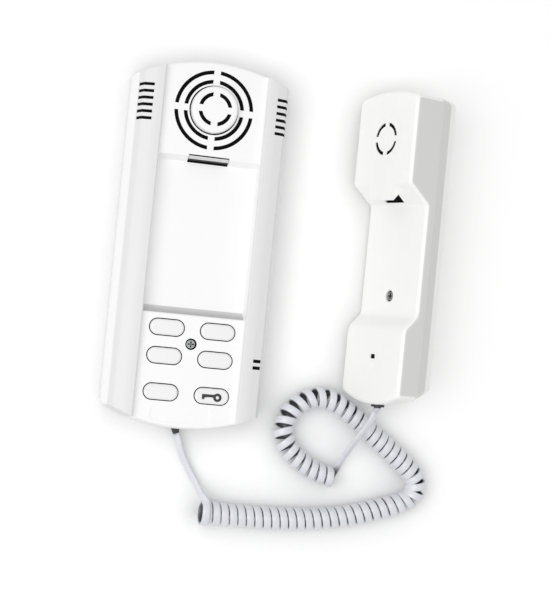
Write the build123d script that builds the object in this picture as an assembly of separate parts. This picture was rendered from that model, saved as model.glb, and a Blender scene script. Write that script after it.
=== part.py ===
from build123d import *
import math
import os

# An audio intercom: a wall base with a speaker grille and six buttons, and a handset on a curly cord.
# The base lies on its back. The origin is the middle of its back face, +Y runs to the speaker end
# and +Z comes out of the front. The handset lies beside it, on its left drafted side.

# Base case
base_width = 96
base_length = 220
base_end_rise = 12
base_corner = 4.5
parting_height = 6.7
shell_wall = 2.2
overrun = 40
slip = 0.3

# Section of the front case, from the parting line to the middle
shoulder_inset = 2.8
shoulder_height = 19.4
fold_inset = 5.2
fold_height = 26.5
crest_inset = 12
rail_height = 29.1
rail_width = 17.8
panel_height = 24.7
rail_wall_lean = 0.7
crest_round = 12
fold_round = 2
shoulder_round = 14
rail_inner_round = 1
end_draft_angle = 5
panel_end_round = 1.5

# Recess between grille and buttons
recess_depth = 5.7
recess_past_speaker = 3.9
recess_from_bottom = 67.8
recess_top_lean = 2.9
recess_bottom_lean = 4.5
recess_wall = 1.6

# Grille
speaker_from_top = 5.2
ring_shares = [0.56, 0.745]
dome_ring_radius = 8.9
ring_slot_width = 2.3
ring_rib_width = 3.9
dome_radius = 13.8
dome_height = 5.3
dome_round = 2
dome_groove_width = 0.9
dome_groove_depth = 1

# Vents in the rails
vent_count = 6
vent_pitch = 4
vent_width = 1.8
vents_from_top = 19.4
vent_past_crest = 0.9
vent_floor = 19.6
low_vent_count = 2
low_vents_from_bottom = 44.9
low_vent_width = 2
low_vent_outside_crest = 1.4
low_vent_inside_fold = 0.6

# Name recess, left bare
name_recess_length = 36.5
name_recess_width = 8.5
name_recess_depth = 0.5
name_recess_from_bottom = 9
name_recess_x = -1.9

# Buttons
buttons_from_bottom = [59.9, 43.2, 21.85]
button_spread_share = 0.502
button_length_share = 0.709
button_width = 10.4
button_gap = 0.6
button_rise = 1.7
button_crown = 1.5
button_flange = 0.8
button_flange_thickness = 1.2
button_travel = 1.2
stem_diameter = 4
symbol_thickness = 0.2
key_ring_diameter = 5
key_hole_diameter = 2
key_length = 11.7
key_drop = 0.5
key_shaft_width = 1.6
key_tooth_drop = 2.2
key_tooth_width = 1.5

# Case screw and its posts
case_screw_from_bottom = 51.3
screw_recess_diameter = 6.8
screw_recess_depth = 2.2
screw_head_diameter = 6
screw_head_height = 1.5
screw_shank_diameter = 3
screw_cross_width = 0.9
screw_cross_length = 3.6
screw_cross_depth = 0.9
post_diameter = 8
pilot_clearance = 0.1

# Rear case
rear_floor = 3
lip_width = 1
seam_gap = 0.35
bracket_pocket_depth = 1.4
wire_entry_diameter = 18
wire_entry_y = -14

# Wall bracket
bracket_width = 50
bracket_length = 110
bracket_thickness = 1.2
bracket_corner = 4
bracket_hole_diameter = 4.5
bracket_hole_spacing = 60
bracket_tab_width = 8
bracket_tab_height = 3.6
bracket_tab_x = 18
bracket_tab_y = 35

# Board and what is on it
board_side_gap = 7
board_end_gap = 17
board_before_hook = 8.2
board_thickness = 1.6
board_height = 8.4
board_screw_inset = 4.5
board_post_diameter = 7
switch_side = 6
switch_body_height = 3.4
switch_plunger_diameter = 3.4
switch_play = 0.3
terminal_length = 30
terminal_width = 9
terminal_height = 5.5
terminal_from_board_top = 13.5
terminal_count = 5
terminal_screw_diameter = 3
terminal_screw_height = 0.6
transformer_from_board_side = 17
transformer_before_terminal = 26
transformer_length = 14
transformer_width = 11
transformer_height = 5.6
transformer_core_share = 0.5
capacitor_diameter = 5
capacitor_length = 11
capacitor_from_board_side = 17
capacitor_before_terminal = 16
capacitor_pitch = 10
capacitor_count = 3
chip_length = 10
chip_width = 6.4
chip_height = 3
chip_x = 0
chip_past_case_screw = 36.7
chip_pin_count = 4
chip_pin_width = 0.5
chip_pin_pitch = 2.54
chip_pin_reach = 0.8

# Speaker
speaker_past_slots = 2.1
speaker_flange_thickness = 1.2
speaker_gasket_thickness = 1.1
speaker_gasket_width = 2
speaker_basket_radius = 15
speaker_basket_depth = 7
speaker_basket_wall = 1
speaker_magnet_radius = 13
speaker_magnet_height = 6
cone_throat_radius = 6
cone_thickness = 0.5
cone_gap = 0.4
cone_lift = 1

# Hook lever
hook_slot_half_width = 12.2
hook_slot_before = 3.2
hook_slot_past = 1.2
hook_side_gap = 0.3
hook_plate_thickness = 1.8
hook_plate_past = 0.4
hook_top = 24.2
hook_lip_height = 1.6
hook_pivot_height = 12
hook_hub_diameter = 6
hook_hub_length = 20
hook_pin_diameter = 2.5
hook_pin_clearance = 0.05
hook_post_thickness = 2.6
hook_post_width = 5.6
hook_tail_width = 6
hook_tail_length = 9.5
hook_tail_thickness = 1.2
hook_spring_length = 5
hook_spring_wall = 0.8
hook_switch_length = 12
hook_switch_width = 5
hook_switch_height = 2.4

# Handset, in its own frame: x across the face, y to the ear end, z out of the face, back at zero
handset_width = 55.2
handset_length = 188
handset_top_rise = 3.8
handset_foot_rise = 6.2
handset_corner = 4
back_depth = 16.6
back_side_draft = 7.1
back_foot_draft = 5.5
back_round = 4.5
ear_face_rise = 20
grip_face_rise = 5.4
mouth_face_rise = 14.2
ear_step_high = 37.9
ear_step_low = 26.3
mouth_step_high = -48.2
mouth_step_low = -39.5
ear_step_round = 3
mouth_step_round = 7
handset_edge_round = 2.6
handset_wall = 2
handset_x = 137.3
handset_y = 9.9
handset_roll = 66.8
seam_chamfer = 0.35

# Ear and mouth details
ear_ring_y = 65.1
ear_ring_radius = 8.9
ear_slot_width = 2.1
ear_rib_width = 3.4
ear_dish_radius = 16
ear_dish_depth = 0.9
mouth_hole_y = -65.3
mouth_hole_length = 4
mouth_hole_width = 2.7
mouth_dish_radius = 9
mouth_dish_depth = 0.4
mouth_dish_shift = 4
grip_screw_y = -28.2
grip_screw_recess_diameter = 6.9
tab_half_width = 10.9
tab_end_y = 28.1
tab_thickness = 2
tab_cheek_end_y = 33
hook_hole_half_width = 8.5
hook_hole_low = 28.1

# Inside the handset
receiver_radius = 15
receiver_height = 10
receiver_gasket_thickness = 1.2
receiver_gasket_width = 3
microphone_radius = 4.8
microphone_height = 6
microphone_boot_wall = 1.4
weight_length = 60
weight_width = 14
weight_height = 6
weight_screw_inset = 6

# Glands
base_gland_diameter = 5.4
base_gland_proud = 0.3
base_gland_height = 5.2
base_gland_x = -1.4
handset_gland_diameter = 8.4
handset_gland_proud = 1
handset_gland_height = 23
gland_body_length = 4
gland_flange_thickness = 1
nozzle_root_diameter = 4.4
nozzle_tip_diameter = 3.9
nozzle_length = 2.2
nozzle_turn = 20

# Cord
cord_diameter = 3.5
corner_share = 0.45
coil_start_diameter = 14.2
coil_end_diameter = 12.8
coil_start_angle = 50
coil_end_angle = 290
curl_count = 50
steps_per_curl = 2

# Middle line of the curls on the surface, by hand, in x and y
coil_axis = [
    (16.8, -157.7), (30, -158.9), (46.4, -159.3), (61, -159.2), (76.1, -158.6), (90, -157.4),
    (103, -155.6), (113.5, -153.3), (123, -150.6), (134, -147.2), (143.2, -144), (148.4, -140.8),
    (151.2, -136.2), (151.2, -130.8), (148.6, -125.8), (141.2, -118.9), (132.4, -112), (124, -105.8),
    (115.6, -99.2), (107.9, -93.5), (101.4, -88.9), (94.3, -85), (87.2, -83.3), (80.8, -84.1),
    (74.9, -86.9), (69.6, -91.4), (65.6, -97), (64.1, -103.7), (65.4, -110.8), (69.6, -117),
    (75.4, -122.5), (82.2, -126.8), (89, -129.7), (95.7, -131.4),
]
# How far apart the curls lie along the wire, as shares of the mean
pitch_shares = [0.9, 0.9, 0.9, 0.9, 0.9, 0.9, 0.95, 1.1, 1.5, 1.1, 0.93, 1, 1.08, 1.2, 1.25, 1.15, 1]

# Straight leads, by hand: from the base gland, and from the curls to the handset gland
lead_end_run = 6
base_lead_points = [(4.4, -125.6, 3.4), (8.8, -132.9, 2.3), (13.4, -140, 2.5)]
handset_lead_points = [(100.6, -117.6, 8), (105, -110.8, 13.3), (109, -104.4, 18.2), (112.6, -98.4, 22.8)]

# Places that follow from the sizes above
half_width = base_width / 2
half_length = base_length / 2
shoulder_x = half_width - shoulder_inset
fold_x = half_width - fold_inset
crest_x = half_width - crest_inset
panel_half_width = half_width - rail_width
recess_bottom = recess_from_bottom - half_length
ring_radii = [share * panel_half_width for share in ring_shares]
speaker_radius = ring_radii[-1] + speaker_past_slots
grille_y = half_length - speaker_from_top - speaker_radius
recess_top = grille_y - speaker_radius - recess_past_speaker
vent_first_y = half_length - vents_from_top
vent_inner_x = crest_x + vent_past_crest
low_vent_y = low_vents_from_bottom - half_length
low_vent_inner_x = crest_x + low_vent_outside_crest
low_vent_outer_x = fold_x - low_vent_inside_fold
name_recess_y = name_recess_from_bottom - half_length
button_x = button_spread_share * panel_half_width
button_length = button_length_share * panel_half_width
button_rows = [place - half_length for place in buttons_from_bottom]
case_screw_y = case_screw_from_bottom - half_length
hook_slot_front = recess_top - hook_slot_before
hook_slot_back = recess_top + hook_slot_past
hook_plate_back = recess_top + hook_plate_past
board_half_width = half_width - board_side_gap
board_bottom = board_end_gap - half_length
board_top = recess_top - board_before_hook
terminal_y = board_top - terminal_from_board_top
transformer_x = transformer_from_board_side - board_half_width
transformer_y = terminal_y - transformer_before_terminal
capacitor_x = board_half_width - capacitor_from_board_side
capacitor_ys = [terminal_y - capacitor_before_terminal - capacitor_pitch * n
                for n in range(capacitor_count)]
chip_y = case_screw_y + chip_past_case_screw
recess_floor = panel_height - recess_depth
panel_under = panel_height - shell_wall
board_under = board_height
board_face = board_height + board_thickness
cap_length = button_length - 2 * button_gap
cap_width = button_width - 2 * button_gap
flange_top = panel_under - slip
flange_bottom = flange_top - button_flange_thickness
button_places = [(side * button_x, row) for row in button_rows for side in (-1, 1)]
speaker_top = panel_under - speaker_gasket_thickness
speaker_flange_bottom = speaker_top - speaker_flange_thickness
basket_bottom = speaker_flange_bottom - speaker_basket_depth
pivot_y = hook_plate_back - hook_plate_thickness / 2
seam = back_depth
ear_face = seam + ear_face_rise
grip_face = seam + grip_face_rise
mouth_face = seam + mouth_face_rise
handset_half_length = handset_length / 2
handset_half_width = handset_width / 2
handset_lift = (handset_half_width * math.sin(math.radians(handset_roll))
                - back_depth * math.cos(math.radians(handset_roll)))
handset_place = Pos(handset_x, handset_y, handset_lift) * Rot(0, -handset_roll, 0)


def box(x0, x1, y0, y1, z0, z1):
    return Pos((x0 + x1) / 2, (y0 + y1) / 2, (z0 + z1) / 2) * Box(x1 - x0, y1 - y0, z1 - z0)


def rod(radius, x, y, z0, z1):
    return Pos(x, y, (z0 + z1) / 2) * Cylinder(radius, z1 - z0)


def tapered(lower_radius, upper_radius, x, y, z0, z1):
    return Pos(x, y, (z0 + z1) / 2) * Cone(lower_radius, upper_radius, z1 - z0)


def prism(face, low, high):
    return extrude(Plane.XY.offset(low) * face, high - low)


def along_x(points, half_span):
    """A prism across the width from points in y and z."""
    return extrude(Plane.YZ * make_face(Polyline(*points, close=True)), half_span, both=True)


def plan_outline(half_wide, half_long, top_rise, foot_rise, corner):
    """A rectangle with bowed ends and rounded corners, seen from the front."""
    top = half_long - top_rise
    foot = foot_rise - half_long
    edges = [
        Line((half_wide, foot), (half_wide, top)),
        ThreePointArc((half_wide, top), (0, half_long), (-half_wide, top)),
        Line((-half_wide, top), (-half_wide, foot)),
        ThreePointArc((-half_wide, foot), (0, -half_long), (half_wide, foot)),
    ]
    outline = make_face(edges)
    return fillet(outline.vertices(), corner)


def ring_arcs(radius, width, rib):
    """Four arcs of a ring, parted by a cross of ribs."""
    reach = 2 * (radius + width)
    ring = Circle(radius + width / 2) - Circle(radius - width / 2)
    return ring - Rectangle(rib, reach) - Rectangle(reach, rib)


def case_section(inset, low):
    """Cross-section of the front case in x and z, drawn in by a wall."""
    crest = rail_height - inset
    panel = panel_height - inset
    right = [
        (half_width - inset, low),
        (half_width - inset, parting_height),
        (shoulder_x - inset, shoulder_height),
        (fold_x - inset, fold_height - inset / 2),
        (crest_x - inset / 2, crest),
        (panel_half_width + rail_wall_lean + inset, crest),
        (panel_half_width + inset, panel),
    ]
    left = [(-x, z) for x, z in reversed(right)]
    face = make_face(Polyline(*right, *left, close=True))
    corners = face.vertices()
    crests = [v for v in corners if abs(v.Y - crest) < slip and abs(v.X) > crest_x - inset - slip]
    face = fillet(crests, crest_round - inset / 2)
    shoulders = [v for v in face.vertices() if abs(v.Y - shoulder_height) < slip]
    face = fillet(shoulders, shoulder_round - inset)
    if inset == 0:
        folds = [v for v in face.vertices() if abs(v.Y - fold_height) < slip]
        face = fillet(folds, fold_round)
        inner = [v for v in face.vertices()
                 if abs(v.Y - crest) < slip and abs(v.X) < panel_half_width + 2 * rail_wall_lean]
        face = fillet(inner, rail_inner_round)
    return Plane.XZ * face


def recess_prism(grow):
    """The channel between the rails, between the grille and the buttons."""
    top = panel_height + overrun
    points = [
        (recess_bottom - grow, top),
        (recess_bottom - grow, panel_height - grow),
        (recess_bottom + recess_bottom_lean - grow, recess_floor - grow),
        (recess_top - recess_top_lean + grow, recess_floor - grow),
        (recess_top + grow, panel_height - grow),
        (recess_top + grow, top),
    ]
    return along_x(points, panel_half_width + grow)


def case_plan(inset, low, high, draft):
    outline = base_plan(inset)
    return extrude(Plane.XY.offset(low) * outline, high - low, taper=draft)


def base_plan(inset):
    return plan_outline(half_width - inset, half_length - inset, base_end_rise, base_end_rise, base_corner)


def make_front_case():
    outer = extrude(case_section(0, 0), half_length, both=True)
    outer &= case_plan(0, parting_height, rail_height + overrun, end_draft_angle)
    ends = [e for e in outer.edges()
            if e.center().Z > shoulder_height and abs(e.center().Y) > half_length - 2 * base_end_rise
            and e.length < 2 * panel_half_width + overrun and abs((e % 0).Y) < 1 / 2
            and abs(e.center().X) < panel_half_width]
    outer = fillet(ends, panel_end_round)
    cavity = extrude(case_section(shell_wall, parting_height - overrun), half_length, both=True)
    cavity &= case_plan(shell_wall, parting_height - slip, rail_height + overrun, end_draft_angle)
    cavity -= recess_prism(recess_wall)
    case = outer - recess_prism(0) - cavity

    # Dome in the middle of the grille, hollow below, with a fine groove round it
    dome_top = panel_height + dome_height
    dome = rod(dome_radius, 0, grille_y, panel_under, dome_top)
    dome = fillet(dome.edges().sort_by(Axis.Z)[-1:], dome_round)
    dome_hollow = rod(dome_radius - shell_wall, 0, grille_y, panel_under - overrun, dome_top - shell_wall)
    groove = rod(dome_radius + dome_groove_width, 0, grille_y, panel_height - dome_groove_depth, dome_top)
    case = case - groove + dome - dome_hollow
    for radius in [dome_ring_radius] + ring_radii:
        slots = Pos(0, grille_y) * ring_arcs(radius, ring_slot_width, ring_rib_width)
        case -= prism(slots, panel_under - dome_height, dome_top + slip)

    # Vents through both rails, and two more low on the right
    for index in range(vent_count):
        y = vent_first_y - index * vent_pitch
        for side in (-1, 1):
            x0, x1 = sorted((side * vent_inner_x, side * half_width))
            case -= box(x0, x1, y - vent_width / 2, y + vent_width / 2, vent_floor, rail_height + slip)
    for index in range(low_vent_count):
        y = low_vent_y - index * vent_pitch
        case -= box(low_vent_inner_x, low_vent_outer_x, y - low_vent_width / 2, y + low_vent_width / 2,
                    vent_floor, rail_height + slip)

    # Buttons, hook slot, name recess and screw recess
    for x, y in button_places:
        case -= prism(Pos(x, y) * SlotOverall(button_length, button_width), recess_floor, dome_top)
    case -= box(-hook_slot_half_width, hook_slot_half_width, hook_slot_front, hook_slot_back,
                recess_floor - overrun / 2, panel_height + slip)
    name = RectangleRounded(name_recess_length, name_recess_width, name_recess_width / 3)
    case -= prism(Pos(name_recess_x, name_recess_y) * name, panel_height - name_recess_depth, dome_top)
    post_foot = board_face + slip
    case += rod(post_diameter / 2, 0, case_screw_y, post_foot, panel_under)
    case -= rod(screw_recess_diameter / 2, 0, case_screw_y, panel_height - screw_recess_depth, dome_top)
    case -= rod(screw_shank_diameter / 2 + pilot_clearance, 0, case_screw_y, post_foot - slip, dome_top)

    # Half of the cord's hole
    case -= gland_hole()
    return case


def gland_hole():
    """The cord's hole through the end wall, wider inside for the gland's flange."""
    hole = Cylinder(base_gland_diameter / 2, 3 * shell_wall)
    room = Pos(0, 0, -3 * shell_wall / 2) * Cylinder(base_gland_diameter / 2 + 2 * slip, 3 * shell_wall)
    return Pos(base_gland_x, -half_length + shell_wall, base_gland_height) * Rot(90, 0, 0) * (hole + room)


def make_rear_case():
    tray = case_plan(0, 0, parting_height - seam_gap, 0)
    inner = case_plan(shell_wall, rear_floor, parting_height, 0)
    tray -= inner
    tray = chamfer([e for e in tray.edges().group_by(Axis.Z)[0]], seam_gap)
    # A lip stands inside the front case
    lip_face = base_plan(shell_wall + slip) - base_plan(shell_wall + slip + lip_width)
    tray += prism(lip_face, rear_floor - slip, parting_height + lip_width)
    for x, y in board_screw_places():
        tray += rod(board_post_diameter / 2, x, y, rear_floor - slip, board_under)
    tray += rod(post_diameter / 2, 0, case_screw_y, rear_floor - slip, board_under - slip)
    for side in (-1, 1):
        x = side * (hook_hub_length / 2 + slip)
        x0, x1 = sorted((x, x + side * hook_post_thickness))
        tray += box(x0, x1, pivot_y - hook_post_width / 2, pivot_y + hook_post_width / 2,
                    rear_floor - slip, hook_pivot_height + hook_post_width / 2)
    tray -= Pos(0, pivot_y, hook_pivot_height) * Rot(0, 90, 0) * Cylinder(
        hook_pin_diameter / 2, base_width)
    # Screw holes, wire entry, bracket pocket and its four slots
    pilot = screw_shank_diameter / 2 + pilot_clearance
    tray -= rod(pilot, 0, case_screw_y, rear_floor, overrun)
    for x, y in board_screw_places():
        tray -= rod(pilot, x, y, rear_floor, overrun)
    tray -= rod(wire_entry_diameter / 2, 0, wire_entry_y, -slip, rear_floor + slip)
    pocket = RectangleRounded(bracket_width + 2 * slip, bracket_length + 2 * slip, bracket_corner)
    tray -= prism(pocket, -slip, bracket_pocket_depth)
    for x, y in bracket_tab_places():
        tray -= box(x - bracket_tab_width / 2 - slip, x + bracket_tab_width / 2 + slip,
                    y - slip, y + bracket_thickness + slip, -slip, rear_floor + slip)
    tray -= gland_hole()
    return tray


def board_screw_places():
    x = board_half_width - board_screw_inset
    return [(side * x, y) for side in (-1, 1)
            for y in (board_bottom + board_screw_inset, board_top - board_screw_inset)]


def bracket_tab_places():
    return [(sx * bracket_tab_x, sy * bracket_tab_y) for sx in (-1, 1) for sy in (-1, 1)]


def make_wall_bracket():
    plate = prism(RectangleRounded(bracket_width, bracket_length, bracket_corner), 0, bracket_thickness)
    for sy in (-1, 1):
        plate -= rod(bracket_hole_diameter / 2, 0, sy * bracket_hole_spacing / 2, -slip,
                     bracket_pocket_depth)
    plate -= rod(wire_entry_diameter / 2, 0, wire_entry_y, -slip, bracket_pocket_depth)
    for x, y in bracket_tab_places():
        plate += box(x - bracket_tab_width / 2, x + bracket_tab_width / 2, y, y + bracket_thickness,
                     0, bracket_tab_height)
    return plate


def make_screw(x, y, head_top, length, head_diameter=screw_head_diameter):
    """A pan-head cross-slot screw, standing along z with its head up."""
    head_under = head_top - screw_head_height
    head = rod(head_diameter / 2, x, y, head_under, head_top)
    head = fillet(head.edges().sort_by(Axis.Z)[-1:], screw_head_height / 2)
    shank = rod(screw_shank_diameter / 2, x, y, head_under - length, head_under)
    cross = (Rectangle(screw_cross_length, screw_cross_width)
             + Rectangle(screw_cross_width, screw_cross_length))
    cut = prism(Pos(x, y) * cross, head_top - screw_cross_depth, head_top + slip)
    return head + shank - cut


def make_case_screw():
    seat = panel_height - screw_recess_depth
    return make_screw(0, case_screw_y, seat + screw_head_height, seat - rear_floor - slip)


def make_main_board():
    board = box(-board_half_width, board_half_width, board_bottom, board_top, board_under, board_face)
    board -= rod(post_diameter / 2 + slip, 0, case_screw_y, board_under - slip, board_face + slip)
    for x, y in board_screw_places():
        board -= rod(screw_shank_diameter / 2 + pilot_clearance, x, y, board_under - slip, board_face + slip)
    return board


def make_board_screws():
    length = board_thickness + board_under - rear_floor - slip
    return [make_screw(x, y, board_face + screw_head_height, length) for x, y in board_screw_places()]


def make_key_switches():
    plunger_top = flange_bottom - stem_length() - button_travel - switch_play
    switches = []
    for x, y in button_places:
        body = Pos(x, y, board_face + switch_body_height / 2) * Box(
            switch_side, switch_side, switch_body_height)
        switches.append(body + rod(switch_plunger_diameter / 2, x, y, board_face, plunger_top))
    return switches


def stem_length():
    return (flange_bottom - board_face - switch_body_height) / 2


def make_button(x, y):
    """A crowned cap with a flange behind the panel and a stem over its switch."""
    top = panel_height + button_rise
    cap = prism(Pos(x, y) * SlotOverall(cap_length, cap_width), flange_bottom, top)
    cap = fillet(cap.edges().group_by(Axis.Z)[-1], button_crown)
    flange = SlotOverall(button_length + 2 * button_flange, button_width + 2 * button_flange)
    cap += prism(Pos(x, y) * flange, flange_bottom, flange_top)
    cap += rod(stem_diameter / 2, x, y, flange_bottom - stem_length(), flange_bottom)
    return cap


def make_key_symbol():
    x, y = button_places[-1]
    y -= key_drop
    top = panel_height + button_rise
    ring_x = x + key_length / 2 - key_ring_diameter / 2
    start = x - key_length / 2
    shape = Pos(ring_x, y) * Circle(key_ring_diameter / 2)
    shape += Pos((start + ring_x) / 2, y + key_tooth_width / 2) * Rectangle(ring_x - start, key_shaft_width)
    for index in range(2):
        tooth_x = start + key_tooth_width / 2 + index * key_tooth_width
        drop = key_tooth_drop * (1 - index / 2)
        shape += Pos(tooth_x, y + key_tooth_width / 2 - drop / 2) * Rectangle(key_tooth_width, drop)
    shape -= Pos(ring_x, y) * Circle(key_hole_diameter / 2)
    return prism(shape, top, top + symbol_thickness)


def make_terminal_block():
    block = box(-terminal_length / 2, terminal_length / 2, terminal_y - terminal_width / 2,
                terminal_y + terminal_width / 2, board_face, board_face + terminal_height)
    for x in terminal_xs():
        block -= rod(terminal_screw_diameter / 2 + pilot_clearance, x, terminal_y,
                     board_face + terminal_height / 2, board_face + terminal_height + slip)
    return block


def terminal_xs():
    step = terminal_length / terminal_count
    return [(index + 1 / 2) * step - terminal_length / 2 for index in range(terminal_count)]


def make_terminal_screws():
    low = board_face + terminal_height / 2
    high = board_face + terminal_height - terminal_screw_height
    screws = []
    for x in terminal_xs():
        screw = rod(terminal_screw_diameter / 2, x, terminal_y, low, high)
        screws.append(screw - box(x - terminal_screw_diameter, x + terminal_screw_diameter,
                                  terminal_y - terminal_screw_height / 2,
                                  terminal_y + terminal_screw_height / 2,
                                  high - terminal_screw_height, high + slip))
    return screws


def make_line_transformer():
    x, y = transformer_x, transformer_y
    top = board_face + transformer_height
    core = box(x - transformer_length / 2, x + transformer_length / 2, y - transformer_width / 2,
               y + transformer_width / 2, board_face, top)
    coil_half = transformer_length * transformer_core_share / 2
    bulge = transformer_width / 2 + transformer_width / 6
    return core + box(x - coil_half, x + coil_half, y - bulge, y + bulge, board_face, top - shell_wall / 2)


def make_capacitors():
    rise = board_face + capacitor_diameter / 2
    return [Pos(capacitor_x, y, rise) * Rot(0, 90, 0) * Cylinder(capacitor_diameter / 2, capacitor_length)
            for y in capacitor_ys]


def make_amplifier_chip():
    top = board_face + chip_height
    lift = chip_height / 4
    chip = box(chip_x - chip_length / 2, chip_x + chip_length / 2, chip_y - chip_width / 2,
               chip_y + chip_width / 2, board_face + lift, top)
    for index in range(chip_pin_count):
        x = chip_x + (index - (chip_pin_count - 1) / 2) * chip_pin_pitch
        reach = chip_width / 2 + chip_pin_reach
        chip += box(x - chip_pin_width / 2, x + chip_pin_width / 2, chip_y - reach, chip_y + reach,
                    board_face, board_face + chip_height / 2)
    return chip


def make_speaker_frame():
    frame = rod(speaker_radius, 0, grille_y, speaker_flange_bottom, speaker_top)
    frame += tapered(speaker_basket_radius, speaker_radius - 2 * speaker_basket_wall, 0, grille_y,
                     basket_bottom, speaker_flange_bottom)
    inner_low = speaker_basket_radius - speaker_basket_wall
    inner_high = speaker_radius - 3 * speaker_basket_wall
    frame -= tapered(inner_low, inner_high, 0, grille_y, basket_bottom + speaker_basket_wall,
                     speaker_flange_bottom)
    frame -= rod(inner_high, 0, grille_y, speaker_flange_bottom, speaker_top + slip)
    return frame


def make_speaker_cone():
    low_radius = cone_throat_radius
    high_radius = speaker_radius - 3 * speaker_basket_wall - cone_gap
    low = basket_bottom + speaker_basket_wall + cone_lift
    high = speaker_flange_bottom + slip
    cone = tapered(low_radius, high_radius, 0, grille_y, low, high)
    cone -= tapered(low_radius - cone_thickness, high_radius - cone_thickness, 0, grille_y,
                    low + cone_thickness, high + cone_thickness)
    rim = (rod(high_radius, 0, grille_y, high - cone_thickness, speaker_top)
           - rod(high_radius - cone_thickness, 0, grille_y, high - 2 * cone_thickness, speaker_top + slip))
    neck = rod(low_radius, 0, grille_y, basket_bottom + speaker_basket_wall, low + cone_thickness / 2)
    return cone + rim + neck


def make_speaker_magnet():
    return rod(speaker_magnet_radius, 0, grille_y, basket_bottom - speaker_magnet_height, basket_bottom)


def make_speaker_gasket():
    gasket = rod(speaker_radius, 0, grille_y, speaker_top, panel_under)
    inner = speaker_radius - speaker_gasket_width
    return gasket - rod(inner, 0, grille_y, speaker_top - slip, panel_under + slip)


def on_pivot(shape):
    return Pos(0, pivot_y, hook_pivot_height) * Rot(0, 90, 0) * shape


def make_hook_lever():
    half = hook_slot_half_width - hook_side_gap
    half_hub = hook_hub_length / 2
    spring_room = hook_spring_length + slip
    step_lean = recess_top_lean / recess_depth
    lip_low = recess_floor + hook_lip_height
    tongue = [
        (hook_plate_back - hook_plate_thickness, recess_floor + slip),
        (recess_top - (panel_height - lip_low) * step_lean, lip_low),
        (recess_top - (panel_height - hook_top) * step_lean, hook_top),
        (hook_plate_back, hook_top),
        (hook_plate_back, recess_floor + slip),
    ]
    lever = along_x(tongue, half)
    lever += box(-half_hub, half_hub - spring_room, hook_plate_back - hook_plate_thickness, hook_plate_back,
                 hook_pivot_height, recess_floor + 2 * slip)
    hub = on_pivot(Pos(0, 0, -spring_room / 2) * Cylinder(hook_hub_diameter / 2, hook_hub_length - spring_room))
    lever += hub
    tail_y = pivot_y - hook_tail_length
    tail_low = board_face + hook_switch_height + slip
    lever += box(-hook_tail_width / 2, hook_tail_width / 2, tail_y, pivot_y,
                 tail_low, tail_low + hook_tail_thickness)
    return lever - on_pivot(Cylinder(hook_pin_diameter / 2 + hook_pin_clearance, base_width))


def make_hook_pivot_pin():
    return on_pivot(Cylinder(hook_pin_diameter / 2, hook_hub_length + 2 * slip + 2 * hook_post_thickness))


def make_hook_spring():
    inner = hook_pin_diameter / 2 + hook_pin_clearance
    ring = Cylinder(inner + hook_spring_wall, hook_spring_length) - Cylinder(inner, hook_spring_length)
    return on_pivot(Pos(0, 0, hook_hub_length / 2 - hook_spring_length / 2) * ring)


def make_hook_switch():
    return box(-hook_switch_length / 2, hook_switch_length / 2, board_top - hook_switch_width, board_top,
               board_face, board_face + hook_switch_height)


def make_gland(diameter, proud, turn):
    """A rubber sleeve along z, a flange inside the wall and a short nozzle that leans over."""
    sleeve = Pos(0, 0, (proud - gland_body_length) / 2) * Cylinder(
        (diameter - slip) / 2, gland_body_length + proud)
    flange = Pos(0, 0, gland_flange_thickness / 2 - gland_body_length) * Cylinder(
        diameter / 2 + slip, gland_flange_thickness)
    nozzle = Pos(0, 0, nozzle_length / 2) * Cone(
        nozzle_root_diameter / 2, nozzle_tip_diameter / 2, nozzle_length)
    leaning = Rot(0, turn, 0) * nozzle + Sphere(nozzle_root_diameter / 2)
    return sleeve + flange + Pos(0, 0, proud) * leaning


def base_gland_place():
    return Pos(base_gland_x, -half_length - slip, base_gland_height) * Rot(90, 0, 0)


def handset_gland_place():
    return handset_place * Pos(0, -handset_half_length - slip, handset_gland_height) * Rot(90, 0, 0)


def nozzle_tip_place(proud, turn):
    return Pos(0, 0, proud) * Rot(0, turn, 0) * Pos(0, 0, nozzle_length)


def make_base_cord_gland():
    return base_gland_place() * make_gland(base_gland_diameter, base_gland_proud, nozzle_turn)


def make_handset_gland():
    return handset_gland_place() * make_gland(handset_gland_diameter, handset_gland_proud, -nozzle_turn)


def handset_profile():
    """Side view of the front shell in y and z, with soft steps."""
    points = [
        (-handset_half_length, seam - back_depth), (-handset_half_length, mouth_face),
        (mouth_step_high, mouth_face), (mouth_step_low, grip_face),
        (ear_step_low, grip_face), (ear_step_high, ear_face),
        (handset_half_length, ear_face), (handset_half_length, seam - back_depth),
    ]
    face = make_face(Polyline(*points, close=True))

    def near(y):
        return [v for v in face.vertices() if abs(v.X - y) < slip]
    face = fillet(near(mouth_step_high) + near(mouth_step_low), mouth_step_round)
    return fillet(near(ear_step_low) + near(ear_step_high), ear_step_round)


def handset_plan(inset, end_inset, low, high):
    outline = plan_outline(handset_half_width - inset, handset_half_length - end_inset,
                           handset_top_rise, handset_foot_rise, handset_corner)
    return prism(outline, low, high)


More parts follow.
